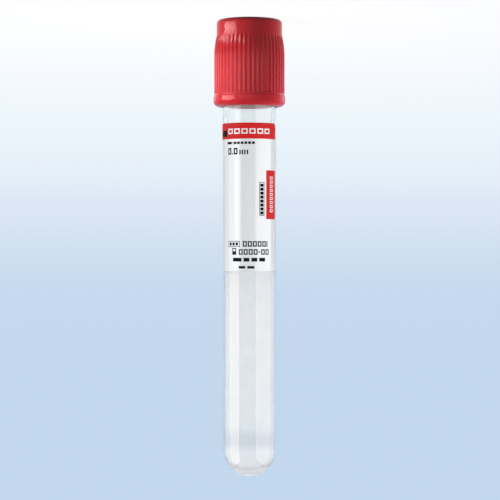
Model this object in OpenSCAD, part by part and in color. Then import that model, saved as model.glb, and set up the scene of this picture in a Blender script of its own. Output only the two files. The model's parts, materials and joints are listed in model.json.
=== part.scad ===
// Evacuated blood collection tube: a clear moulded tube with a round bottom, a rubber
// stopper in its mouth, a ribbed safety cap snapped over the stopper, and a wrapped label.
// Lengths are in millimetres, and angles in degrees. Each piece is drawn the right way up,
// from the round bottom at height 0 to the cap, with the label's front towards -Y. The tube
// can't stand on its round bottom, so stand_on_cap() then turns every piece over: the cap's
// rim is on the floor at Z = 0, the round bottom is at the top, and the label still faces -Y.

/* [Tube] */
// Outside diameter of the tube's lower part, which racks and carriers hold
tube_d = 12.9; // [10:0.1:16]
// How much wider the tube is at its mouth, across its diameter
mouth_flare = 0.2; // [0:0.05:0.4]
// Length of the tube, from its round bottom to its mouth
tube_len = 100; // [75:1:130]
// Length of the straight lower part, round bottom included
straight_len = 46; // [30:1:48]
// Length of the straight part at the mouth
neck_len = 12; // [11:0.5:13]
// Thickness of the tube's wall
tube_wall = 1; // [0.8:0.05:1.3]
// Thickness of the plastic in the middle of the round bottom
floor_t = 2.2; // [1:0.1:3.5]
// Radius between the inside of the wall and the inside of the bottom
floor_corner_r = 3.8; // [2:0.1:4]
// Rounding of the mouth's edges
mouth_edge_r = 0.3; // [0.1:0.05:0.4]

/* [Cap outside] */
// Height of the cap, from the foot of its skirt to its top
cap_h = 21.4; // [18:0.1:28]
// Length of the tube that the skirt covers
cap_overlap = 9.3; // [7.5:0.1:12]
// Thickness of the cap's wall, between the ribs
cap_wall = 1.25; // [1:0.05:1.6]
// Height of the smooth collar at the top
collar_h = 3.9; // [3:0.1:5]
// Rounding of the collar's top edge
collar_edge_r = 1; // [0.5:0.05:1]
// Height of the shoulder, where the ribs sink into the collar
shoulder_h = 5.2; // [4:0.1:6.5]
// Height of the smooth band below the ribs
band_h = 0.6; // [0.4:0.05:1]
// Height of the flange below the band
flange_h = 1.3; // [1:0.05:2]
// How far the flange stands out past the band
flange_out = 0.17; // [0.1:0.01:0.4]
// Rounding of the flange's upper edge
flange_edge_r = 0.15; // [0.05:0.01:0.3]
// Height of the rounded foot under the flange
foot_h = 1.3; // [0.8:0.05:2]
// Width of the flat ring that the skirt ends in
foot_w = 0.4; // [0.2:0.05:0.6]

/* [Cap ribs] */
// Number of ribs around the cap
rib_count = 48; // [36:2:54]
// Height of a rib above the wall
rib_h = 0.6; // [0.4:0.05:0.8]
// Width of a rib, which has a round crest
rib_w = 0.6; // [0.45:0.05:0.7]

/* [Cap inside] */
// Thickness of the web that presses on the stopper
web_t = 1.2; // [0.8:0.05:1.6]
// Diameter of the hole in the web, where the needle goes in
web_hole_d = 9.2; // [7:0.1:10]
// Thickness of the rim around the well at the top
rim_t = 1.3; // [1.1:0.05:1.6]
// Height of the ring that holds the stopper's flange from below
catch_h = 1; // [0.6:0.05:1.5]

/* [Stopper] */
// Length of the plug inside the tube
plug_len = 8.4; // [7:0.1:9]
// Height of each of the plug's two sealing rings
seal_h = 1.4; // [1:0.1:2]
// How far the plug is waisted between its sealing rings
seal_relief = 0.25; // [0.1:0.05:0.4]
// Thickness of the stopper's flange
stopper_flange_t = 3.5; // [2.5:0.1:4.5]
// How far the flange reaches past the outside of the tube
stopper_flange_out = 0.6; // [0.45:0.05:0.7]
// How far the boss in the web's hole stays below the web's upper face
boss_sink = 0.1; // [0:0.05:0.5]
// Depth of the shallow dish in the top of the boss
dish_t = 0.5; // [0.2:0.1:1]
// Diameter of the recess in the underside of the plug
recess_d = 6.4; // [4:0.1:7]
// Depth of the recess in the underside of the plug
recess_depth = 8; // [3:0.1:9]

/* [Label] */
// Width of the label, measured around the tube
label_w = 30; // [22:0.5:31]
// Height of the label
label_h = 36; // [28:0.5:38]
// Length of bare tube between the cap's foot and the label
label_gap = 4.2; // [2:0.1:8]
// Thickness of the label's film
label_t = 0.08; // [0.06:0.01:0.2]
// Thickness of the adhesive under the film
glue_t = 0.02; // [0.01:0.01:0.05]
// Radius of the label's corners
label_corner_r = 1; // [0.5:0.1:2]
// How far round from the front the label's right edge lies
label_edge_turn = 72; // [40:1:90]

/* [Clearances] */
// Gap between the tube and the cap's skirt
skirt_gap = 0.25; // [0.2:0.05:0.5]
// Gap between the tube and the ring under the stopper's flange
catch_gap = 0.12; // [0.1:0.01:0.2]
// Gap between the plug's sealing rings and the tube's bore
plug_gap = 0.03; // [0.01:0.01:0.06]
// Gap around the stopper's flange and boss inside the cap
turn_gap = 0.08; // [0.05:0.01:0.1]
// Gap above and below the stopper's flange
seat_gap = 0.03; // [0.01:0.01:0.06]

/* [Hidden] */
$fn = 96;

// How far a cut starts outside the face that it goes into
cut = 0.5;
// Segments in each rounded edge of an outline, and around a rib's crest
arc_steps = 6;
rib_steps = 24;

// The tube: straight, then flared along a slight cone, then straight again at the neck
tube_r = tube_d / 2;
neck_r = tube_r + mouth_flare / 2;
neck_low = tube_len - neck_len;
bore_r = neck_r - tube_wall;
low_bore_r = tube_r - tube_wall;

// The cap's heights, from its foot to its top
cap_low = tube_len - cap_overlap;
flange_low = cap_low + foot_h;
band_low = flange_low + flange_h;
ribs_low = band_low + band_h;
cap_top = cap_low + cap_h;
collar_low = cap_top - collar_h;
shoulder_low = collar_low - shoulder_h;

// The cap's radii
skirt_r = neck_r + skirt_gap;
collar_r = skirt_r + cap_wall;
crest_r = collar_r + rib_h;
flange_r = crest_r + flange_out;
foot_r = skirt_r + foot_w;
well_r = collar_r - rim_t;
catch_r = neck_r + catch_gap;
web_hole_r = web_hole_d / 2;
// The crests follow an arc over the shoulder, from upright to where they meet the collar, and
// they go on for a few degrees, so that each rib ends inside the wall
shoulder_arc_r = (shoulder_h * shoulder_h + rib_h * rib_h) / (2 * rib_h);
rib_end_turn = 3;
shoulder_turn = asin(shoulder_h / shoulder_arc_r) + rib_end_turn;
// How deep a rib's root lies under its crest, and how far its lower end goes into the band
rib_root = rib_h + cap_wall / 3;
rib_sink = band_h / 2;

// The stopper sits on the tube's mouth, and the web sits on the stopper
stopper_low = tube_len + seat_gap;
stopper_flange_top = stopper_low + stopper_flange_t;
stopper_flange_r = neck_r + stopper_flange_out;
web_low = stopper_flange_top + seat_gap;
web_top = web_low + web_t;
chamber_low = stopper_low - seat_gap;
chamber_r = stopper_flange_r + turn_gap;
plug_r = bore_r - plug_gap;
plug_low = tube_len - plug_len;
boss_r = web_hole_r - turn_gap;
boss_top = web_top - boss_sink;
recess_r = recess_d / 2;
// The dish is part of a ball, and it leaves a flat ring as wide as it is deep
dish_r = boss_r - dish_t;
dish_ball_r = (dish_r * dish_r + dish_t * dish_t) / (2 * dish_t);

// The label hangs below the cap. Its two upright edges are angles, where -90 is the front.
label_high = cap_low - label_gap;
label_low = label_high - label_h;
label_turn = label_w / (PI * tube_d) * 360;
label_right = label_edge_turn - 90;
label_left = label_right - label_turn;

// Turns a piece over, about the label's middle line, and stands it on the cap's rim
module stand_on_cap() {
    translate([0, 0, cap_top])
        rotate([0, 180, 0])
            children();
}

// Points along an arc about [x, y], from one angle to another
function arc(x, y, r, from, to, steps = arc_steps) =
    [for (i = [0 : steps]) let (a = from + (to - from) * i / steps) [x + r * cos(a), y + r * sin(a)]];

// Points along a quarter of an ellipse about [x, y], from one angle to another
function oval(x, y, rx, ry, from, to, steps = arc_steps) =
    [for (i = [0 : steps]) let (a = from + (to - from) * i / steps) [x + rx * cos(a), y + ry * sin(a)]];

// Turns an outline of [radius, height] points about the axis
module turned(outline) {
    rotate_extrude()
        polygon(outline);
}

// Radius of the tube's outside at a height above the round bottom
function tube_r_at(z) =
    tube_r + (neck_r - tube_r) * min(max((z - straight_len) / (neck_low - straight_len), 0), 1);

// The tube: straight, flared and straight again outside, with a half ball at the end
module tube() {
    color([0.88, 0.92, 0.95, 0.4])
        stand_on_cap()
            difference() {
                union() {
                    translate([0, 0, tube_r])
                        sphere(r = tube_r);
                    translate([0, 0, tube_r])
                        cylinder(r = tube_r, h = straight_len - tube_r);
                    translate([0, 0, straight_len])
                        cylinder(r1 = tube_r, r2 = neck_r, h = neck_low - straight_len);
                    translate([0, 0, neck_low])
                        turned(neck_outline);
                }
                tube_hollow();
            }
}

// The neck and its rounded mouth, from the neck's lower end
neck_outline = concat(
    [[0, 0], [neck_r, 0]],
    arc(neck_r - mouth_edge_r, neck_len - mouth_edge_r, mouth_edge_r, 0, 90),
    arc(bore_r + mouth_edge_r, neck_len - mouth_edge_r, mouth_edge_r, 90, 180),
    [[bore_r - cut, neck_len - mouth_edge_r], [0, neck_len - mouth_edge_r]]
);

// The space inside the tube, which follows its outside a wall's thickness in
module tube_hollow() {
    floor_corner_z = floor_t + floor_corner_r;
    turned(concat(
        [[0, straight_len], [0, floor_t]],
        arc(low_bore_r - floor_corner_r, floor_corner_z, floor_corner_r, -90, 0, 2 * arc_steps),
        [[low_bore_r, straight_len]]
    ));
    translate([0, 0, straight_len])
        cylinder(r1 = low_bore_r, r2 = bore_r, h = neck_low - straight_len);
    translate([0, 0, neck_low])
        cylinder(r = bore_r, h = neck_len + cut);
}

// The stopper: a plug with two sealing rings, a flange on the tube's mouth, and a boss
module stopper() {
    color([0.45, 0.46, 0.48])
        stand_on_cap()
            difference() {
                union() {
                    translate([0, 0, plug_low])
                        plug();
                    translate([0, 0, stopper_low])
                        cylinder(r = stopper_flange_r, h = stopper_flange_t);
                    translate([0, 0, stopper_low])
                        cylinder(r = boss_r, h = boss_top - stopper_low);
                }
                // the dish on top and the recess below leave the middle that the needle pierces
                translate([0, 0, boss_top - dish_t + dish_ball_r])
                    sphere(r = dish_ball_r);
                translate([0, 0, plug_low - cut])
                    cylinder(r = recess_r, h = recess_depth + cut);
            }
}

// The plug, with its two sealing rings and the waist between them
module plug() {
    lead = seal_h / 3;
    cylinder(r1 = plug_r - lead, r2 = plug_r, h = lead);
    translate([0, 0, lead])
        cylinder(r = plug_r, h = seal_h - lead);
    cylinder(r = plug_r - seal_relief - lead, h = plug_len + stopper_flange_t / 2);
    translate([0, 0, lead])
        cylinder(r = plug_r - seal_relief, h = plug_len - lead + stopper_flange_t / 2);
    translate([0, 0, plug_len - 2 * seal_h])
        cylinder(r = plug_r, h = seal_h);
}

// One rib, standing out along +X: straight up the wall, then over the shoulder
module rib() {
    round_r = rib_w / 2;
    straight_h = shoulder_low - ribs_low + rib_sink;
    translate([crest_r - round_r, 0, ribs_low - rib_sink]) {
        cylinder(r = round_r, h = straight_h, $fn = rib_steps);
        translate([round_r - rib_root, -round_r, 0])
            cube([rib_root - round_r, rib_w, straight_h]);
    }
    translate([crest_r - shoulder_arc_r, 0, shoulder_low])
        rotate([90, 0, 0])
            rotate_extrude(angle = shoulder_turn)
                translate([shoulder_arc_r - round_r, 0]) {
                    circle(r = round_r, $fn = rib_steps);
                    translate([round_r - rib_root, -round_r])
                        square([rib_root - round_r, rib_w]);
                }
}

// The cap's outside without its ribs: foot, flange, band, wall and collar
cap_outline = concat(
    [[0, cap_low]],
    oval(foot_r, flange_low, flange_r - foot_r, foot_h, -90, 0, 2 * arc_steps),
    arc(flange_r - flange_edge_r, band_low - flange_edge_r, flange_edge_r, 0, 90),
    [[crest_r, band_low], [crest_r, ribs_low]],
    arc(crest_r, ribs_low + rib_h, rib_h, 270, 180),
    arc(collar_r - collar_edge_r, cap_top - collar_edge_r, collar_edge_r, 0, 90),
    [[0, cap_top]]
);

// The cap: a ribbed shell around the stopper and the tube's mouth, open at both ends
module cap() {
    color([0.82, 0.15, 0.18])
        stand_on_cap()
            difference() {
                union() {
                    turned(cap_outline);
                    for (i = [0 : rib_count - 1])
                        rotate([0, 0, 360 * i / rib_count])
                            rib();
                }
                // the skirt's inside, then the catch ring, the stopper's chamber and the web's hole
                translate([0, 0, cap_low - cut])
                    cylinder(r = skirt_r, h = chamber_low - catch_h - cap_low + cut);
                translate([0, 0, cap_low])
                    cylinder(r = catch_r, h = cap_overlap);
                translate([0, 0, chamber_low])
                    cylinder(r = chamber_r, h = web_low - chamber_low);
                translate([0, 0, web_low - cut])
                    cylinder(r = web_hole_r, h = web_t + 2 * cut);
                // the well that keeps the stopper's face out of reach
                translate([0, 0, web_top])
                    cylinder(r = well_r, h = cap_top - web_top + cut);
            }
}

// Heights at which the label's film starts, bends with the tube's flare, and ends
label_heights = [
    label_low,
    for (z = [straight_len, neck_low])
        if (z > label_low && z < label_high) z,
    label_high
];

// The label's section: the tube's outside moved out by the adhesive, then by the film too
label_outline = concat(
    [for (z = label_heights) [tube_r_at(z) + glue_t, z]],
    [
        for (i = [len(label_heights) - 1 : -1 : 0])
            let (z = label_heights[i])
                [tube_r_at(z) + glue_t + label_t, z]
    ]
);

// The label: one film wrapped most of the way round the tube, with rounded corners
module label() {
    color([0.95, 0.96, 0.97])
        stand_on_cap()
            difference() {
                rotate([0, 0, label_left])
                    rotate_extrude(angle = label_turn)
                        polygon(label_outline);
                label_corner(label_right, label_low, 1, 1);
                label_corner(label_right, label_high, 1, -1);
                label_corner(label_left, label_low, -1, 1);
                label_corner(label_left, label_high, -1, -1);
            }
}

// What a rounded corner takes off the label at the given angle and height. It goes through
// the film wherever the tube's flare has taken it, with a film's thickness to spare.
module label_corner(turn, height, side, up) {
    rotate([0, 0, turn])
        translate([tube_r - label_t, 0, height])
            rotate([0, 90, 0])
                linear_extrude(mouth_flare / 2 + glue_t + 3 * label_t)
                    mirror([up < 0 ? 1 : 0, 0])
                        mirror([0, side < 0 ? 1 : 0])
                            rotate(90)
                                corner_bite(label_corner_r);
}

// A square corner less the circle that rounds it. The circle's middle lies a little towards
// the corner, so that it crosses both of the label's edges at an angle.
module corner_bite(r) {
    crossing = 0.04;
    middle = r * (1 - crossing);
    difference() {
        translate([-middle, -cut])
            square([middle + cut, middle + cut]);
        translate([-middle, middle])
            circle(r = r);
    }
}

tube();
stopper();
cap();
label();
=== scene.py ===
import json
import math

import bmesh
import bpy
from mathutils import Matrix, Vector

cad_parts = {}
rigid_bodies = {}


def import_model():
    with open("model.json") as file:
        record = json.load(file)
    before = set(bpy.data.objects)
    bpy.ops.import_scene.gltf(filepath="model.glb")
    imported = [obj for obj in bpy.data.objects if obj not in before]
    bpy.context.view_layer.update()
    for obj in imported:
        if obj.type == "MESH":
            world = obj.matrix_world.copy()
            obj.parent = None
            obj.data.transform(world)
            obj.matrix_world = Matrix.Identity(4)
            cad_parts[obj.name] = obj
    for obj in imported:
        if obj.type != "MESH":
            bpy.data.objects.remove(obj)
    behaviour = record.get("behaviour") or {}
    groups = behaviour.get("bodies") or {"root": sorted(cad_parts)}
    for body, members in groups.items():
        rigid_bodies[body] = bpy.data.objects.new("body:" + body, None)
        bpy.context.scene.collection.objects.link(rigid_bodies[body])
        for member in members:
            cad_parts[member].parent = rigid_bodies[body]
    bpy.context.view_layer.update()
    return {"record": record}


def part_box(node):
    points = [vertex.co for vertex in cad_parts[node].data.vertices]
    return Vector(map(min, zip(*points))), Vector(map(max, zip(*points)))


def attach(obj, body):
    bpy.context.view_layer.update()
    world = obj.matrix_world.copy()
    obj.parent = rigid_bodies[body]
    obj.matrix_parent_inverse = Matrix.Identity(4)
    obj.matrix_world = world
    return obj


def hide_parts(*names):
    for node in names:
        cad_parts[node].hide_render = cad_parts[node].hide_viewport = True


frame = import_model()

# The looks of a blood collection tube that stands on its cap, with its round bottom up.
# Lengths are in millimetres until a mesh is made, and in metres after that. Heights are
# measured up from the surface that the cap's rim stands on. Left and right are as the camera
# sees them, with the cap at the top.
MM = 0.001


# ---------------------------------------------------------------- sizes from the frame

def span(node):
    """Lowest and highest point of a CAD node along the tube's axis, in mm."""
    low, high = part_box(node)
    return low.z / MM, high.z / MM


mounts = {mount["name"]: mount for mount in frame["record"]["mounts"]}
tube_mouth, tube_top = span("tube")
stopper_top, plug_end = span("stopper")
_, cap_foot = span("cap")
label_foot, label_head = span("label")

tube_r = mounts["rack_fit"]["dims"]["r_mm"]
flange_r = mounts["holder_fit"]["dims"]["r_mm"]
neck_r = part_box("tube")[1].x / MM
straight_from = (mounts["rack_fit"]["pos_m"][2] / MM
                 - mounts["rack_fit"]["dims"]["length_mm"] / 2)

# What the CAD pieces measure where no box reaches. The tube:
tube_wall = 1.0
neck_z = tube_mouth + 12.0
inner_floor = tube_top - 2.2
floor_corner_r = 3.8
lip_r = 0.3
# the cap, outside: the ribs' crests stand as high as in the CAD, with shallower grooves
collar_r = 8.05
rib_h = 0.6
groove_t = 0.18
root_fillet = 0.08
crest_r = collar_r + rib_h
collar_h = 3.9
shoulder_h = 5.2
foot_h = 1.3
foot_z = cap_foot - foot_h
flange_z = foot_z - 1.3
ribs_end = flange_z - 0.6
# the cap, inside
skirt_r = 6.8
foot_r = skirt_r + 0.4
catch_r = 6.67
catch_h = 1.0
chamber_r = 7.23
web_hole_r = 4.6
well_r = 6.75
web_face = 7.34
web_back = 8.54
# the stopper
stopper_flange = (8.57, 12.07)
stopper_flange_r = 7.15
plug_r = 5.52
boss_r = 4.52
dish_t = 0.5
recess_r = 3.2
recess_end = 12.5
# the label, whose right edge is turned this many degrees from the middle of its front
glue_t = 0.02
film_t = 0.08
label_w = 30.0
label_right_turn = 72.0
label_corner_r = 1.0


# ---------------------------------------------------------------- small helpers

def to_linear(hex_colour):
    """An sRGB hex colour as the linear colour that nodes take."""
    levels = [int(hex_colour[i:i + 2], 16) / 255 for i in (1, 3, 5)]
    return [v / 12.92 if v <= 0.04045 else ((v + 0.055) / 1.055) ** 2.4
            for v in levels] + [1.0]


def add_node(tree, kind, inputs=None, stops=(), **settings):
    """Adds a node with its settings and inputs, which are named or numbered. An input is a
    value, a socket, or a node for its first output. Stops are (position, sRGB hex)."""
    node = tree.nodes.new(kind)
    for name, value in settings.items():
        setattr(node, name, value)
    for key, value in (inputs or {}).items():
        if isinstance(value, bpy.types.Node):
            value = value.outputs[0]
        if isinstance(value, bpy.types.NodeSocket):
            tree.links.new(value, node.inputs[key])
        else:
            node.inputs[key].default_value = value
    for _ in stops[2:]:
        node.color_ramp.elements.new(0.5)
    for i, (position, colour) in enumerate(stops):
        node.color_ramp.elements[i].position = position
        node.color_ramp.elements[i].color = to_linear(colour)
    return node


def new_tree(material_name):
    """A new material with an empty node tree, and that tree."""
    material = bpy.data.materials.new(material_name)
    material.use_nodes = True
    material.node_tree.nodes.clear()
    return material, material.node_tree


def arc(centre_r, centre_z, radius, start, end, steps, radius_z=None):
    """(radius, height) points along a round or oval arc. Angle 0 is outwards, and 90 is up."""
    turn = [math.radians(start + (end - start) * i / steps) for i in range(steps + 1)]
    return [(centre_r + radius * math.cos(a), centre_z + (radius_z or radius) * math.sin(a))
            for a in turn]


def held(outline, hold=0.04, corner=12.0, closed=False):
    """The outline with a holding point, hold mm away, on each side of every corner sharper
    than corner degrees, so that smooth shading turns there and leaves the flats flat. Long
    flats are held at both ends in any case."""
    count = len(outline)
    out = []
    for i, here in enumerate(outline):
        if not closed and i in (0, count - 1):
            out.append(here)
            continue
        before, after = outline[i - 1], outline[(i + 1) % count]
        a = math.atan2(here[1] - before[1], here[0] - before[0])
        b = math.atan2(after[1] - here[1], after[0] - here[0])
        bend = abs((b - a + math.pi) % (2 * math.pi) - math.pi)
        for other in (before, here, after):
            if other is here:
                out.append(here)
                continue
            gap = math.dist(here, other)
            if gap > 3 * hold and (bend > math.radians(corner) or gap > 20 * hold):
                out.append(tuple(h + (o - h) * hold / gap for h, o in zip(here, other)))
    return out


def turned(name, outline, columns, closed):
    """An outline of (radius, height) points in mm turned about the axis into a mesh. An open
    outline starts and ends on the axis, where its ends become poles."""
    points, faces, rows = [], [], []
    for r, z in outline:
        if r < 1e-6:
            rows.append([len(points)])
            points.append((0.0, 0.0, z * MM))
        else:
            rows.append(range(len(points), len(points) + columns))
            points += [(r * MM * math.cos(2 * math.pi * k / columns),
                        r * MM * math.sin(2 * math.pi * k / columns), z * MM)
                       for k in range(columns)]
    pairs = list(zip(rows, rows[1:])) + ([(rows[-1], rows[0])] if closed else [])
    for low, high in pairs:
        for k in range(columns):
            n = (k + 1) % columns
            if len(low) == 1:
                faces.append((low[0], high[n], high[k]))
            elif len(high) == 1:
                faces.append((low[k], low[n], high[0]))
            else:
                faces.append((low[k], low[n], high[n], high[k]))
    mesh = bpy.data.meshes.new(name)
    mesh.from_pydata(points, [], faces)
    return mesh


def finish_piece(name, mesh, *materials):
    """Puts a mesh in the scene as one smooth piece, its faces pointing outwards."""
    shell = bmesh.new()
    shell.from_mesh(mesh)
    bmesh.ops.remove_doubles(shell, verts=shell.verts, dist=1e-8)
    bmesh.ops.recalc_face_normals(shell, faces=shell.faces)
    for face in shell.faces:
        face.smooth = True
    shell.to_mesh(mesh)
    shell.free()
    mesh.name = name
    for material in materials:
        mesh.materials.append(material)
    piece = bpy.data.objects.new(name, mesh)
    bpy.context.scene.collection.objects.link(piece)
    return piece


def mark_sharp(piece, angle):
    """Splits the shading at edges sharper than angle, in degrees."""
    piece.data.set_sharp_from_angle(angle=math.radians(angle))


# ---------------------------------------------------------------- materials

def clear_wall(tree, roughness, line_strength):
    """Clear polyester with the faint lines that a long core leaves when it is drawn out of
    the moulding: about 1.5 mm apart round the tube and many times longer along it."""
    place = add_node(tree, "ShaderNodeTexCoord").outputs["Object"]
    stretch = add_node(tree, "ShaderNodeMapping", {"Vector": place, "Scale": (1, 1, 0.04)})
    lines = add_node(tree, "ShaderNodeTexNoise",
                     {"Vector": stretch, "Scale": 1 / (1.5 * MM), "Detail": 2.0,
                      "Roughness": 0.45})
    bump = add_node(tree, "ShaderNodeBump", {"Height": lines, "Strength": line_strength,
                                             "Distance": 0.02 * MM})
    return add_node(tree, "ShaderNodeBsdfPrincipled",
                    {"Base Color": to_linear("#FAFCFD"), "Roughness": roughness, "IOR": 1.57,
                     "Transmission Weight": 1.0, "Normal": bump})


def scattering_wall(tree, wall, share, colour, clearness):
    """Ends a material with a clear wall, a share of which is white with powder or crystals.
    They scatter light to both sides, and lamps shine through to light what is in the tube."""
    front = add_node(tree, "ShaderNodeBsdfDiffuse", {"Color": colour})
    back = add_node(tree, "ShaderNodeBsdfTranslucent", {"Color": colour})
    powder = add_node(tree, "ShaderNodeMixShader", {0: 0.5, 1: front, 2: back})
    covered = add_node(tree, "ShaderNodeMixShader", {0: share, 1: wall, 2: powder})
    path = add_node(tree, "ShaderNodeLightPath").outputs
    let_through = add_node(tree, "ShaderNodeMath",
                           {0: path["Is Shadow Ray"], 1: clearness}, operation="MULTIPLY")
    clear = add_node(tree, "ShaderNodeBsdfTransparent", {"Color": to_linear("#F4F8FA")})
    lit = add_node(tree, "ShaderNodeMixShader", {0: let_through, 1: covered, 2: clear})
    add_node(tree, "ShaderNodeOutputMaterial", {"Surface": lit})


def clear_moulded_polyester():
    """Injection-moulded clear polyester: a hard gloss, and lines bent by the thick wall. Round
    the gate, in the thick bottom, it cools slowly and turns slightly milky."""
    milk_from, milk_full, milk_share = tube_top - 3.2, tube_top - 1.8, 0.3
    material, tree = new_tree("clear_moulded_polyester")
    place = add_node(tree, "ShaderNodeTexCoord").outputs["Object"]
    height = add_node(tree, "ShaderNodeSeparateXYZ", {0: place}).outputs["Z"]
    milk = add_node(tree, "ShaderNodeMapRange",
                    {"Value": height, "From Min": milk_from * MM,
                     "From Max": milk_full * MM, "To Min": 0.0, "To Max": milk_share},
                    interpolation_type="SMOOTHSTEP")
    scattering_wall(tree, clear_wall(tree, 0.03, 0.25), milk, to_linear("#F6F5FB"), 1.0)
    return material


def dried_clot_activator():
    """The tube's inner face, sprayed with silica that dries to a white haze: the clear wall
    shows through it, and it scatters light so that the tube looks milky."""
    low, high = 20.0, 112.0

    def along(shades):
        """Stops for a ramp between low and high, from (height in mm, sRGB hex)."""
        return [((z - low) / (high - low), shade) for z, shade in shades]

    material, tree = new_tree("dried_clot_activator")
    place = add_node(tree, "ShaderNodeTexCoord").outputs["Object"]
    height = add_node(tree, "ShaderNodeSeparateXYZ", {0: place}).outputs["Z"]
    up = add_node(tree, "ShaderNodeMapRange", {"Value": height, "From Min": low * MM,
                                               "From Max": high * MM})
    # warm white, with a greyer band some 7 mm from the floor: painted shade where the round
    # bottom begins to curve
    white = add_node(tree, "ShaderNodeValToRGB", {0: up}, stops=along(
        [(99.8, "#F0E9E1"), (102.3, "#D2CDC7"), (103.8, "#D2CDC7"), (105.6, "#F0E9E1")]))
    # the spray dries in soft patches some 4 mm across, made of specks of about 0.25 mm, and
    # covers 0.38 to 0.46 of the wall
    patches = add_node(tree, "ShaderNodeTexNoise", {"Vector": place, "Scale": 1 / (4 * MM),
                                                    "Detail": 1.0})
    specks = add_node(tree, "ShaderNodeTexNoise", {"Vector": place, "Scale": 1 / (0.25 * MM),
                                                   "Detail": 1.0})
    both = add_node(tree, "ShaderNodeMath", {0: patches, 1: specks}, operation="ADD")
    cover = add_node(tree, "ShaderNodeMapRange",
                     {"Value": both, "From Min": 0.7, "From Max": 1.3, "To Min": 0.38,
                      "To Max": 0.46})
    # it is thin by the stopper, full along the tube, a little thinner at the band of painted
    # shade, full again in the floor's corner, and a little thinner on the floor
    share = add_node(tree, "ShaderNodeValToRGB", {0: up}, stops=along(
        [(27.0, "#A2A2A2"), (32.0, "#FFFFFF"), (80.0, "#FFFFFF"), (100.0, "#F0F0F0"),
         (103.5, "#EEEEEE"), (106.0, "#FBFBFB"), (108.0, "#FBFBFB"), (109.5, "#F0F0F0"),
         (high, "#E6E6E6")]))
    cover = add_node(tree, "ShaderNodeMath", {0: cover, 1: share}, operation="MULTIPLY")
    scattering_wall(tree, clear_wall(tree, 0.06, 0.2), cover, white, 0.8)
    return material


def moulded_red_polyethylene():
    """Injection-moulded polyethylene, dyed red: waxy gloss, a little light inside it, and a
    fine even grain from the mould."""
    material, tree = new_tree("moulded_red_polyethylene")
    place = add_node(tree, "ShaderNodeTexCoord").outputs["Object"]
    # the dye is even, with swirls of the melt some 6 mm long that can only just be seen
    swirl = add_node(tree, "ShaderNodeTexNoise", {"Vector": place, "Scale": 1 / (6 * MM),
                                                  "Detail": 3.0})
    colour = add_node(tree, "ShaderNodeValToRGB", {0: swirl},
                      stops=[(0.35, "#BA1A22"), (0.65, "#C21E27")])
    # mould grain is nearer 0.05 mm, and is drawn at 0.15 mm so that it shows
    grain = add_node(tree, "ShaderNodeTexNoise", {"Vector": place, "Scale": 1 / (0.15 * MM),
                                                  "Detail": 2.0})
    gloss = add_node(tree, "ShaderNodeMapRange",
                     {"Value": grain, "From Min": 0.3, "From Max": 0.7, "To Min": 0.16,
                      "To Max": 0.22})
    bump = add_node(tree, "ShaderNodeBump", {"Height": grain, "Strength": 0.1,
                                             "Distance": 0.01 * MM})
    plastic = add_node(tree, "ShaderNodeBsdfPrincipled",
                       {"Base Color": colour, "Roughness": gloss, "IOR": 1.5,
                        "Specular IOR Level": 0.2, "Subsurface Weight": 0.08,
                        "Subsurface Radius": (1.0, 0.15, 0.12),
                        "Subsurface Scale": 0.8 * MM, "Normal": bump})
    add_node(tree, "ShaderNodeOutputMaterial", {"Surface": plastic})
    return material


def moulded_butyl_rubber():
    """Compression-moulded butyl rubber: dull dark grey with a dusty grain of 0.3 mm."""
    material, tree = new_tree("moulded_butyl_rubber")
    place = add_node(tree, "ShaderNodeTexCoord").outputs["Object"]
    dust = add_node(tree, "ShaderNodeTexNoise", {"Vector": place, "Scale": 1 / (0.3 * MM),
                                                 "Detail": 4.0})
    colour = add_node(tree, "ShaderNodeValToRGB", {0: dust},
                      stops=[(0.3, "#4C4D50"), (0.7, "#5D5E61")])
    bump = add_node(tree, "ShaderNodeBump", {"Height": dust, "Strength": 0.3,
                                             "Distance": 0.03 * MM})
    rubber = add_node(tree, "ShaderNodeBsdfPrincipled",
                      {"Base Color": colour, "Roughness": 0.6, "IOR": 1.5, "Normal": bump})
    add_node(tree, "ShaderNodeOutputMaterial", {"Surface": rubber})
    return material


def label_print(name, darker, lighter, roughness, sheen_level, lacquer):
    """Printed polypropylene film, with the faint unevenness of the print about 0.4 mm across.
    Bare film is lacquered and glossy, and ink dries dull on it."""
    material, tree = new_tree(name)
    place = add_node(tree, "ShaderNodeTexCoord").outputs["Object"]
    mottle = add_node(tree, "ShaderNodeTexNoise", {"Vector": place, "Scale": 1 / (0.4 * MM),
                                                   "Detail": 2.0})
    colour = add_node(tree, "ShaderNodeValToRGB", {0: mottle},
                      stops=[(0.3, darker), (0.7, lighter)])
    # the film creeps a little on its adhesive, in waves some 3 mm across
    waves = add_node(tree, "ShaderNodeTexNoise", {"Vector": place, "Scale": 1 / (3 * MM)})
    bump = add_node(tree, "ShaderNodeBump", {"Height": waves, "Strength": 0.1,
                                             "Distance": 0.05 * MM})
    film = add_node(tree, "ShaderNodeBsdfPrincipled",
                    {"Base Color": colour, "Roughness": roughness, "IOR": 1.6,
                     "Specular IOR Level": sheen_level, "Coat Weight": lacquer,
                     "Coat Roughness": 0.16, "Coat IOR": 1.6, "Normal": bump})
    add_node(tree, "ShaderNodeOutputMaterial", {"Surface": film})
    return material


# ---------------------------------------------------------------- the tube

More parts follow.
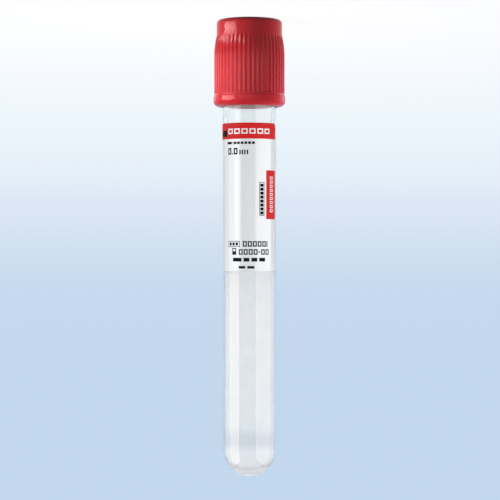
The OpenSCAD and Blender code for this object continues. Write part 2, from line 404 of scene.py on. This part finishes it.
def make_tube():
    """The clear moulded tube: a round bottom, a slightly flared wall and a rounded mouth."""
    bore_r, low_bore_r = neck_r - tube_wall, tube_r - tube_wall
    ball_z = tube_top - tube_r
    # heights of the rings of points that divide the long straight wall
    rings = (75.0, 85.0, 95.0)
    outside = (arc(0, ball_z, tube_r, 90, 0, 40)
               + [(tube_r, z) for z in (*reversed(rings), straight_from)]
               + [(neck_r, neck_z)]
               + arc(neck_r - lip_r, tube_mouth + lip_r, lip_r, 0, -90, 8))
    inside = (arc(bore_r + lip_r, tube_mouth + lip_r, lip_r, -90, -180, 8)
              + [(bore_r, plug_end), (bore_r, neck_z)]
              + [(low_bore_r, z) for z in (straight_from, *rings)]
              + arc(low_bore_r - floor_corner_r, inner_floor - floor_corner_r, floor_corner_r,
                    0, 90, 24)
              + [(r, inner_floor) for r in (1.0, 0.4, 0)])
    mesh = turned("tube_moulding", held(outside + inside), columns=256, closed=False)
    piece = finish_piece("tube_moulding", mesh, clear_moulded_polyester(),
                         dried_clot_activator())
    # the spray covers the inside, from the plug to the bottom: every face nearer to the axis,
    # or to the middle of the round bottom, than the middle of the wall is
    for face in piece.data.polygons:
        x, y, z = (c / MM for c in face.center)
        reach = math.hypot(x, y, max(z - ball_z, 0))
        face.material_index = int(reach < tube_r - tube_wall / 2 and z > plug_end)
    return piece


# ---------------------------------------------------------------- the stopper

def make_stopper():
    """The rubber stopper: a dished boss, a flange, and a plug with two sealing rings."""
    dish_r = boss_r - dish_t
    dish_ball = (dish_r ** 2 + dish_t ** 2) / (2 * dish_t)
    dish_turn = math.degrees(math.asin(dish_r / dish_ball))
    low, high = stopper_flange
    waist_t, seal_h = 0.25, 1.4
    lead = seal_h / 3
    boss_edge, flange_edge, recess_edge, recess_corner = 0.15, 0.3, 0.2, 0.4
    top = (arc(0, stopper_top + dish_t - dish_ball, dish_ball, 90, 90 - dish_turn, 10)
           + arc(boss_r - boss_edge, stopper_top + boss_edge, boss_edge, -90, 0, 5)
           + [(boss_r, low)]
           + arc(stopper_flange_r - flange_edge, low + flange_edge, flange_edge, -90, 0, 5)
           + arc(stopper_flange_r - flange_edge, high - flange_edge, flange_edge, 0, 90, 5))
    plug = ([(plug_r, high), (plug_r, high + 2 * seal_h),
             (plug_r - waist_t, high + 2 * seal_h + waist_t),
             (plug_r - waist_t, plug_end - seal_h - waist_t),
             (plug_r, plug_end - seal_h), (plug_r, plug_end - lead),
             (plug_r - lead, plug_end)]
            + arc(recess_r + recess_edge, plug_end - recess_edge, recess_edge, 90, 180, 4)
            + arc(recess_r - recess_corner, recess_end + recess_corner, recess_corner,
                  0, -90, 5)
            + [(0, recess_end)])
    mesh = turned("stopper_moulding", held(top + plug), columns=128, closed=False)
    piece = finish_piece("stopper_moulding", mesh, moulded_butyl_rubber())
    mark_sharp(piece, 40)
    return piece


# ---------------------------------------------------------------- the cap

RIB_COUNT = 48
COLUMNS_A_RIB = 12


def cap_outline():
    """The cap's section without its ribs, from the rim's inner edge round the outside."""
    edge, rim_edge, skirt_edge, well_corner, hold = 0.15, 1.0, 0.1, 0.3, 0.03
    # rings of points where the wall is straight, and closer ones where the shoulder rises
    collar_rings, wall_rings, shoulder_steps = (2.4, collar_h - 0.35), (12.0, 15.0), 30
    outside = (arc(well_r + edge, edge, edge, 180, 270, 4)
               + arc(collar_r - rim_edge, rim_edge, rim_edge, -90, 0, 10)
               + [(collar_r, z) for z in collar_rings]
               + [(collar_r, collar_h + shoulder_h * i / shoulder_steps)
                  for i in range(shoulder_steps + 1)]
               + [(collar_r, z) for z in wall_rings]
               + arc(crest_r, ribs_end - rib_h, rib_h, 180, 90, 10)
               + [(crest_r, flange_z - hold)]
               + arc(flange_r - edge, flange_z + edge, edge, -90, 0, 6)
               + arc(foot_r, foot_z, flange_r - foot_r, 0, 90, 16, radius_z=foot_h))
    inside = (arc(skirt_r + skirt_edge, cap_foot - skirt_edge, skirt_edge, 90, 180, 3)
              + [(skirt_r, tube_mouth + catch_h), (catch_r, tube_mouth + catch_h),
                 (catch_r, tube_mouth), (chamber_r, tube_mouth), (chamber_r, web_back),
                 (web_hole_r, web_back)]
              + arc(web_hole_r + edge, web_face + edge, edge, 180, 270, 4)
              + arc(well_r - well_corner, web_face - well_corner, well_corner, 90, 0, 4))
    return outside + inside


def raise_ribs():
    """A node tree that raises ribs on a turned wall: soft waves round the wall, and a shoulder
    over which they sink into it in points."""
    tree = bpy.data.node_groups.new("raise_cap_ribs", "GeometryNodeTree")
    sockets = {}
    for name, kind in (("Wall", "Geometry"), ("Rib Count", "Int"), ("Rib Height", "Float"),
                       ("Groove Depth", "Float"), ("Wall Radius", "Float"),
                       ("Collar Height", "Float"), ("Shoulder Height", "Float"),
                       ("Ribs End", "Float"), ("Root Fillet", "Float"),
                       ("Cap Plastic", "Material")):
        sockets[name] = tree.interface.new_socket(name, in_out="INPUT",
                                                  socket_type="NodeSocket" + kind)
    tree.interface.new_socket("Cap", in_out="OUTPUT", socket_type="NodeSocketGeometry")
    given = add_node(tree, "NodeGroupInput").outputs
    place = add_node(tree, "GeometryNodeInputPosition")
    axes = add_node(tree, "ShaderNodeSeparateXYZ", {0: place}).outputs
    known = {name: given[name] for name in sockets}
    known.update(x=axes["X"], y=axes["Y"], z=axes["Z"])
    # in mm, how far past the wall's face, the ribs' start and their end a point still counts
    face_slack, start_slack, end_slack = 0.05, 0.3, -0.001
    # each row names what a Math node gives, for the rows after it
    for name, operation, *values in (
            ("turn", "ARCTAN2", "y", "x"),
            ("x squared", "POWER", "x", 2.0),
            ("y squared", "POWER", "y", 2.0),
            ("radius squared", "ADD", "x squared", "y squared"),
            ("radius", "SQRT", "radius squared"),
            # how deep the groove is here: nothing on a crest, and all of it midway between two
            ("phase", "MULTIPLY", "turn", "Rib Count"),
            ("wave", "COSINE", "phase"),
            ("trough", "SUBTRACT", 1.0, "wave"),
            ("half groove", "MULTIPLY", "Groove Depth", 0.5),
            ("groove", "MULTIPLY", "half groove", "trough"),
            # how high the crest is at this height: an arc that meets the wall at the collar
            ("shoulder squared", "POWER", "Shoulder Height", 2.0),
            ("rib squared", "POWER", "Rib Height", 2.0),
            ("chord squared", "ADD", "shoulder squared", "rib squared"),
            ("rib twice", "MULTIPLY", "Rib Height", 2.0),
            ("arc radius", "DIVIDE", "chord squared", "rib twice"),
            ("shoulder", "ADD", "Collar Height", "Shoulder Height"),
            ("left to rise", "SUBTRACT", "shoulder", "z"),
            ("over", "MAXIMUM", "left to rise", 0.0),
            ("over squared", "POWER", "over", 2.0),
            ("arc squared", "POWER", "arc radius", 2.0),
            ("reach squared", "SUBTRACT", "arc squared", "over squared"),
            ("reach", "SQRT", "reach squared"),
            ("drop", "SUBTRACT", "arc radius", "reach"),
            ("rise", "SUBTRACT", "Rib Height", "drop"),
            ("crest", "ADD", "Wall Radius", "rise"),
            ("ridge", "SUBTRACT", "crest", "groove"),
            ("raised", "SMOOTH_MAX", "radius", "ridge", "Root Fillet"),
            ("grow", "DIVIDE", "raised", "radius"),
            # only the outside of the wall, between the collar and the band
            ("wall face", "SUBTRACT", "Wall Radius", face_slack * MM),
            ("on wall", "GREATER_THAN", "radius", "wall face"),
            ("ribs start", "SUBTRACT", "Collar Height", start_slack * MM),
            ("above", "GREATER_THAN", "z", "ribs start"),
            ("ribs stop", "ADD", "Ribs End", end_slack * MM),
            ("below", "LESS_THAN", "z", "ribs stop"),
            ("between", "MULTIPLY", "above", "below"),
            ("ribbed", "MULTIPLY", "on wall", "between")):
        known[name] = add_node(tree, "ShaderNodeMath",
                               {i: known.get(value, value) for i, value in enumerate(values)},
                               operation=operation, label=name)
    outwards = add_node(tree, "ShaderNodeCombineXYZ",
                        {0: known["grow"], 1: known["grow"], 2: 1.0})
    moved = add_node(tree, "ShaderNodeVectorMath", {0: place, 1: outwards},
                     operation="MULTIPLY")
    shaped = add_node(tree, "GeometryNodeSetPosition",
                      {"Geometry": given["Wall"], "Selection": known["ribbed"],
                       "Position": moved})
    whole = add_node(tree, "GeometryNodeRealizeInstances", {0: shaped})
    dyed = add_node(tree, "GeometryNodeSetMaterial",
                    {"Geometry": whole, "Material": given["Cap Plastic"]})
    add_node(tree, "NodeGroupOutput", {0: dyed})
    return tree, {name: socket.identifier for name, socket in sockets.items()}


def make_cap():
    """The ribbed safety cap, one moulding with a well, a web, a chamber and a skirt."""
    mesh = turned("cap_wall", held(cap_outline(), closed=True), RIB_COUNT * COLUMNS_A_RIB,
                  closed=True)
    shell = bpy.data.objects.new("cap_wall", mesh)
    bpy.context.scene.collection.objects.link(shell)
    plastic = moulded_red_polyethylene()
    tree, ident = raise_ribs()
    ribs = shell.modifiers.new("ribs", "NODES")
    ribs.node_group = tree
    for name, value in (("Rib Count", RIB_COUNT), ("Rib Height", rib_h * MM),
                        ("Groove Depth", groove_t * MM), ("Wall Radius", collar_r * MM),
                        ("Collar Height", collar_h * MM), ("Shoulder Height", shoulder_h * MM),
                        ("Ribs End", ribs_end * MM), ("Root Fillet", root_fillet * MM),
                        ("Cap Plastic", plastic)):
        ribs[ident[name]] = value
    ready = shell.evaluated_get(bpy.context.evaluated_depsgraph_get())
    shaped = bpy.data.meshes.new_from_object(ready)
    bpy.data.objects.remove(shell)
    piece = finish_piece("cap_moulding", shaped)
    mark_sharp(piece, 50)
    return piece


# ---------------------------------------------------------------- the label

# Print on the label: (left, right, lowest, highest, ink). Across is in mm round the tube
# from the middle of its front, to the right as the label is read. Up is in mm above the
# label's lower edge. Later fields lie on earlier ones.
WHITE, RED, BLACK = 0, 1, 2


def label_fields():
    """The label's printed fields: colours, noughts, bars and dashes, and no words."""
    right = math.radians(label_right_turn) * tube_r
    left = right - label_w
    fields = [(left, right, 32.1, 36.0, RED),
              (-8.6, -6.1, 32.7, 34.2, BLACK),
              (4.3, 8.0, 12.6, 24.5, RED)]

    def dashes(across, low, high, ink, widths, gap):
        """A row of bars of several widths, from the left."""
        for width in widths:
            fields.append((across, across + width, low, high, ink))
            across += width + gap

    def frame_field(a, b, low, high, ink, line, ground=WHITE):
        """A frame round a field of the ground's colour."""
        fields.append((a, b, low, high, ink))
        fields.append((a + line, b - line, low + line, high - line, ground))

    def figures(across, low, high, ink, pattern, wide, gap, line, ground=WHITE):
        """A row of plain noughts, where the pattern says 0, with short bars for 1 and -."""
        for mark in pattern:
            if mark == "0":
                frame_field(across, across + wide, low, high, ink, line, ground)
                across += wide + gap
            elif mark == "1":
                fields.append((across, across + line, low, high, ink))
                across += line + gap
            elif mark == "-":
                middle = (low + high) / 2
                fields.append((across, across + wide / 2, middle - line / 2,
                               middle + line / 2, ink))
                across += wide / 2 + gap

    # across the red band, and two lines below it
    figures(-5.7, 33.3, 34.6, WHITE, "000000", 1.5, 0.4, 0.32, RED)
    dashes(-6.0, 30.8, 31.4, BLACK, (1.5, 0.2, 0.7, 0.7, 0.7, 0.7, 0.7, 0.7), 0.2)
    figures(-5.7, 28.3, 29.9, BLACK, "0", 1.05, 0.2, 0.36)
    fields.append((-4.48, -4.14, 28.3, 28.64, BLACK))
    figures(-3.95, 28.3, 29.9, BLACK, "0", 1.05, 0.2, 0.36)
    dashes(-2.45, 28.3, 29.4, BLACK, (0.36, 0.36, 0.36, 0.36), 0.24)
    # the two tags that read up the label
    frame_field(2.4, 3.8, 13.4, 21.6, BLACK, 0.14)
    for i in range(8):
        fields.append((2.65, 3.55, 13.7 + 0.96 * i, 14.48 + 0.96 * i, BLACK))
    for i in range(9):
        frame_field(5.55, 6.75, 14.3 + 1.0 * i, 15.0 + 1.0 * i, WHITE, 0.2, RED)
    # the lines at the label's lower end
    frame_field(-5.7, -2.35, 5.85, 7.3, BLACK, 0.14)
    dashes(-5.25, 6.2, 6.95, BLACK, (0.65, 0.65, 0.65), 0.25)
    figures(-1.6, 5.9, 7.25, BLACK, "000001", 1.0, 0.2, 0.3)
    fields.append((-4.4, -3.3, 3.95, 5.6, BLACK))
    fields.append((-4.15, -3.55, 4.8, 5.35, WHITE))
    figures(-2.6, 3.95, 5.3, BLACK, "0000-00", 1.0, 0.2, 0.3)
    dashes(-4.2, 2.3, 3.2, BLACK, (2.3, 1.4, 1.4, 1.6), 0.5)
    dashes(-2.6, 0.6, 1.2, BLACK, (1.6, 1.7), 0.5)
    return left, right, fields


def tube_r_at(z):
    """Radius of the tube's outside at a height in mm."""
    flare = (straight_from - z) / (straight_from - neck_z)
    return tube_r + (neck_r - tube_r) * min(max(flare, 0), 1)


def make_label():
    """The label: a film wrapped most of the way round, cut along the edges of its print."""
    left, right, fields = label_fields()
    corner = label_corner_r
    tall = label_head - label_foot
    # in mm: the longest faces round and up, how far an edge may overrun, and when points merge
    step_round, step_up, slack, weld = 0.2, 3.0, 0.03, 0.002

    def cuts(edges, low, high, step):
        """The edges in order, with even cuts between those further apart than step."""
        lines = sorted(set(round(e, 3) for e in edges if low - slack <= e <= high + slack))
        out = [lines[0]]
        for line in lines[1:]:
            count = max(1, math.ceil((line - out[-1]) / step))
            start = out[-1]
            out += [start + (line - start) * (k + 1) / count for k in range(count)]
        return out

    bends = [label_head - z for z in (straight_from, neck_z)]
    rounded = [corner * (1 - math.cos(math.radians(a))) for a in (15, 30, 45, 60, 75, 90)]
    across = cuts([left, right, left + corner, right - corner]
                  + [f[0] for f in fields] + [f[1] for f in fields], left, right, step_round)
    up = cuts([0, tall] + [b for b in bends if 0 < b < tall] + rounded
              + [tall - r for r in rounded]
              + [f[2] for f in fields] + [f[3] for f in fields], 0, tall, step_up)

    def pull(v):
        """How far the rounded corners draw the film's upright edges in at a height v."""
        short = max(corner - min(v, tall - v), 0)
        return corner - math.sqrt(max(corner ** 2 - short ** 2, 0))

    def at(u, v, depth):
        """A point of the film, in metres, with depth in mm under its face."""
        inset = pull(v)
        u = min(max(u, left + inset), right - inset)
        z = label_head - v
        r = tube_r_at(z) + glue_t + film_t - depth
        turn = u / tube_r
        return (-r * MM * math.sin(turn), -r * MM * math.cos(turn), z * MM)

    shell = bmesh.new()
    uv = shell.loops.layers.uv.new("film_mm")
    sheets = []
    for depth in (0.0, film_t):
        sheets.append([[shell.verts.new(at(u, v, depth)) for u in across] for v in up])
    face_of = {}
    for s, sheet in enumerate(sheets):
        for j in range(len(up) - 1):
            for i in range(len(across) - 1):
                face = shell.faces.new((sheet[j][i], sheet[j][i + 1], sheet[j + 1][i + 1],
                                        sheet[j + 1][i]))
                u, v = (across[i] + across[i + 1]) / 2, (up[j] + up[j + 1]) / 2
                ink = WHITE
                if s == 0:
                    for a, b, low, high, colour in fields:
                        if a < u < b and low < v < high:
                            ink = colour
                face.material_index = ink
                face_of[face] = (across[i], across[i + 1], up[j], up[j + 1])
    rim = ([(0, i) for i in range(len(across))]
           + [(j, len(across) - 1) for j in range(1, len(up))]
           + [(len(up) - 1, i) for i in range(len(across) - 2, -1, -1)]
           + [(j, 0) for j in range(len(up) - 2, 0, -1)])
    for (j, i), (m, n) in zip(rim, rim[1:] + rim[:1]):
        face = shell.faces.new((sheets[0][j][i], sheets[0][m][n], sheets[1][m][n],
                                sheets[1][j][i]))
        face_of[face] = (across[i], across[n], up[j], up[m])
    for face, (a, b, low, high) in face_of.items():
        for loop, place in zip(face.loops, ((a, low), (b, low), (b, high), (a, high))):
            loop[uv].uv = place
    bmesh.ops.remove_doubles(shell, verts=shell.verts, dist=weld * MM)
    bmesh.ops.dissolve_degenerate(shell, edges=shell.edges, dist=weld * MM)
    mesh = bpy.data.meshes.new("label_film")
    shell.to_mesh(mesh)
    shell.free()
    piece = finish_piece(
        "label_film", mesh,
        label_print("white_label_film", "#EAEBEC", "#EFF0F1", 0.25, 0.5, 1.0),
        label_print("red_label_ink", "#DC1D1F", "#E22426", 0.5, 0.1, 0.0),
        label_print("black_label_ink", "#161517", "#201F21", 0.5, 0.02, 0.0))
    mark_sharp(piece, 40)
    return piece


# ---------------------------------------------------------------- floor, world, lamps, camera

def seen_straight(tree):
    """1 for the rays that show a surface itself: from the camera, off gloss, through clear
    plastic. 0 for those that only bring its light to something else."""
    path = add_node(tree, "ShaderNodeLightPath").outputs
    gloss = add_node(tree, "ShaderNodeMath",
                     {0: path["Is Camera Ray"], 1: path["Is Glossy Ray"]}, operation="MAXIMUM")
    return add_node(tree, "ShaderNodeMath", {0: gloss, 1: path["Is Transmission Ray"]},
                    operation="MAXIMUM")


def make_floor():
    """A plain pale floor, white by the object and light blue far from it. Paper takes the
    shadow, and a glow on it shows the floor's own colour."""
    reach, glow_level = 3.0, 0.95
    mesh = bpy.data.meshes.new("floor")
    shell = bmesh.new()
    bmesh.ops.create_circle(shell, cap_ends=True, radius=reach, segments=256)
    shell.to_mesh(mesh)
    shell.free()
    floor = bpy.data.objects.new("floor", mesh)
    bpy.context.scene.collection.objects.link(floor)
    material, tree = new_tree("pale_floor")
    place = add_node(tree, "ShaderNodeTexCoord").outputs["Object"]
    far = add_node(tree, "ShaderNodeVectorMath", {0: place}, operation="LENGTH")
    share = add_node(tree, "ShaderNodeMath", {0: far.outputs["Value"], 1: reach},
                     operation="DIVIDE")
    colour = add_node(tree, "ShaderNodeValToRGB", {0: share}, stops=[
        (0.0, "#FCFCFD"), (0.03, "#F5F6FA"), (0.07, "#EEF4FA"), (0.12, "#E9F2F8"),
        (0.25, "#E3EDF5"), (0.45, "#DCE7F4"), (0.6, "#D6E2F1"), (1.0, "#D4E1F0")])
    glow = add_node(tree, "ShaderNodeMath", {0: seen_straight(tree), 1: glow_level},
                    operation="MULTIPLY")
    card = add_node(tree, "ShaderNodeEmission", {"Color": colour, "Strength": glow})
    paper = add_node(tree, "ShaderNodeBsdfDiffuse", {"Color": to_linear("#6A6B6C")})
    both = add_node(tree, "ShaderNodeAddShader", {0: card, 1: paper})
    add_node(tree, "ShaderNodeOutputMaterial", {"Surface": both})
    mesh.materials.append(material)
    return floor


def make_world():
    """A pale blue room: soft neutral light on the object, and the blue as its background."""
    world = bpy.data.worlds.new("room")
    bpy.context.scene.world = world
    world.use_nodes = True
    tree = world.node_tree
    tree.nodes.clear()
    # the blue deepens from 0.9 degrees under the horizon, where the floor ends, to 3.4 over it
    deepens_from, deepens_to = -0.0155, 0.06
    way = add_node(tree, "ShaderNodeTexCoord").outputs["Generated"]
    height = add_node(tree, "ShaderNodeSeparateXYZ", {0: way}).outputs["Z"]
    share = add_node(tree, "ShaderNodeMapRange", {"Value": height, "From Min": deepens_from,
                                                  "From Max": deepens_to})
    blue = add_node(tree, "ShaderNodeValToRGB", {0: share}, stops=[
        (0.0, "#D9E5F3"), (0.2, "#D0E0F0"), (0.41, "#C9DBEF"), (0.55, "#C6D8EE"),
        (1.0, "#C3D8ED")])
    shown = add_node(tree, "ShaderNodeBackground", {"Color": blue})
    light = add_node(tree, "ShaderNodeBackground", {"Color": to_linear("#FFFFFF"),
                                                    "Strength": 0.5})
    mixed = add_node(tree, "ShaderNodeMixShader", {0: seen_straight(tree), 1: light, 2: shown})
    add_node(tree, "ShaderNodeOutputWorld", {"Surface": mixed})


def soft_lamp(name, place, aim, size, radiance, only, colour="#FFFFFF", diffuse=True,
              glossy=True):
    """A rectangular softbox, which lights only the pieces of one collection. Radiance is how
    bright its face is, where 1 is white. Without diffuse it is only reflected, and without
    glossy it isn't. It is never seen itself, nor through the clear tube."""
    lamp = bpy.data.lights.new(name, "AREA")
    lamp.shape = "RECTANGLE"
    lamp.size, lamp.size_y = (s * MM for s in size)
    lamp.energy = radiance * math.pi * lamp.size * lamp.size_y
    lamp.color = to_linear(colour)[:3]
    holder = bpy.data.objects.new(name, lamp)
    back = (Vector(place) - Vector(aim)).normalized()
    side = Vector((0, 0, 1)).cross(back).normalized()
    turn = Matrix((side, back.cross(side), back)).transposed().to_4x4()
    holder.matrix_world = Matrix.Translation([p * MM for p in place]) @ turn
    bpy.context.scene.collection.objects.link(holder)
    holder.visible_camera = False
    holder.visible_transmission = False
    holder.visible_diffuse = diffuse
    holder.visible_glossy = glossy
    holder.light_linking.receiver_collection = only


def make_camera():
    """A level camera in front, turned over so that the cap is at the top of its view."""
    place = (-0.15, -475.0, 56.5)
    data = bpy.data.cameras.new("camera")
    data.sensor_width = 36.0
    data.lens = 139.2
    camera = bpy.data.objects.new("camera", data)
    turned_over = Matrix(((-1, 0, 0), (0, 0, -1), (0, -1, 0))).to_4x4()
    camera.matrix_world = Matrix.Translation([p * MM for p in place]) @ turned_over
    bpy.context.scene.collection.objects.link(camera)
    bpy.context.scene.camera = camera


# ---------------------------------------------------------------- the scene

cap_side = bpy.data.collections.new("lit_with_the_cap")
tube_side = bpy.data.collections.new("lit_with_the_tube")
for piece, body, node, finish, lit in (
        (make_tube(), "tube", "tube", "clear_pet", tube_side),
        (make_stopper(), "stopper", "stopper", "butyl_rubber", cap_side),
        (make_cap(), "cap", "cap", "red_cap_plastic", cap_side),
        (make_label(), "tube", "label", "label_film", tube_side)):
    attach(piece, body)
    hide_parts(node)
    lit.objects.link(piece)

floor = make_floor()
make_world()
make_camera()
key_side = bpy.data.collections.new("lit_with_the_floor")
for lit_piece in (floor, *tube_side.objects):
    key_side.objects.link(lit_piece)
cap_middle, tube_middle = (0, 0, 10), (0, 0, 70)
warm = "#FFEEDD"
soft_lamp("key", (220, -117, 150), (0, 0, 60), (200, 200), 2.3, key_side, glossy=False)
# the cap's light: from both sides, with more on the ribs at the left and the foot at the right
for name, place, aim, size, radiance in (
        ("cap_left", (118, -25, 30), cap_middle, (80, 60), 7.5),
        ("cap_right", (-113, 41, 30), cap_middle, (80, 60), 7.2),
        ("ribs_left", (16, -15.1, 15), (0, 0, 15), (24, 6), 3.6),
        ("foot_right", (-15, -17, 31), (0, 0, 20), (24, 10), 2.3)):
    soft_lamp(name, place, aim, size, radiance, cap_side, glossy=False)
soft_lamp("cap_rim", (-90, 70, 20), (0, 0, 12), (60, 40), 1.4, cap_side, colour="#D8C4F4")
# what the cap reflects: low strips at the left, behind and in front, and a card close to its
# flange and to its collar
for name, place, aim, size, radiance in (
        ("cap_strip", (70, -4, 6.1), (0, -4, 6.1), (84, 11.4), 1.7),
        ("cap_back_strip", (70, 70, 6.1), (0, 70, 6.1), (64, 11.4), 1.8),
        ("rib_strip", (20, -73, 6.1), (0, 0, 6.1), (90, 11.4), 2.5),
        ("flange_card", (15.6, -10.6, 18.85), (5.15, -7.1, 18.85), (13.4, 1.9), 10.5),
        ("cap_card", (14.2, -9.7, 1.35), (4.7, -6.5, 1.35), (12.2, 2.6), 13.5)):
    soft_lamp(name, place, aim, size, radiance, cap_side, diffuse=False)
# what the tube, its neck and its label reflect: upright strips on both sides, which face
# straight across. The neck's lie in the plane of the label's and partly over them, and where
# both lie the label's, which come first, are the ones reflected
for name, place, size, radiance, colour in (
        ("left_label_strip", (70, -45, 35.5), (102, 55), 1.8, "#FFFFFF"),
        ("left_label_edge", (69, -54, 35.5), (40, 55), 1.3, "#FFFFFF"),
        ("left_label_back", (70, 26, 35.5), (40, 55), 0.7, "#FFFFFF"),
        ("left_tube_strip", (70, -34, 123), (76, 120), 2.9, warm),
        ("left_tube_back", (70, 26, 123), (40, 120), 1.3, warm),
        ("right_label_strip", (-70, -62, 35.5), (150, 55), 1.9, "#FFFFFF"),
        ("right_tube_back", (-70, 38, 123), (50, 120), 1.0, warm),
        ("left_neck_strip", (70, -34, 13.5), (76, 14), 5.6, "#FFFFFF"),
        ("right_neck_strip", (-70, -62, 13.5), (150, 14), 4.5, "#FFFFFF"),
        ("right_tube_strip", (-70, -62, 123), (150, 120), 1.8, warm)):
    soft_lamp(name, place, (0, *place[1:]), size, radiance, tube_side, colour, diffuse=False)
# the tube's light: from in front, from the right, from behind through the haze, and over the
# round bottom
for name, place, aim, size, radiance, colour in (
        ("tube_front", (0, -260, 70), tube_middle, (200, 160), 1.35, "#FFFFFF"),
        ("tube_right", (-110, -60, 70), tube_middle, (110, 140), 1.7, "#FFFFFF"),
        ("tube_back", (0, 200, 80), tube_middle, (200, 160), 2.8, "#FFF1EE"),
        ("tube_above", (0, -10, 150), (0, 0, 112), (60, 60), 0.8, "#FFFFFF")):
    soft_lamp(name, place, aim, size, radiance, tube_side, colour, glossy=False)
bpy.context.scene.view_settings.view_transform = "Standard"
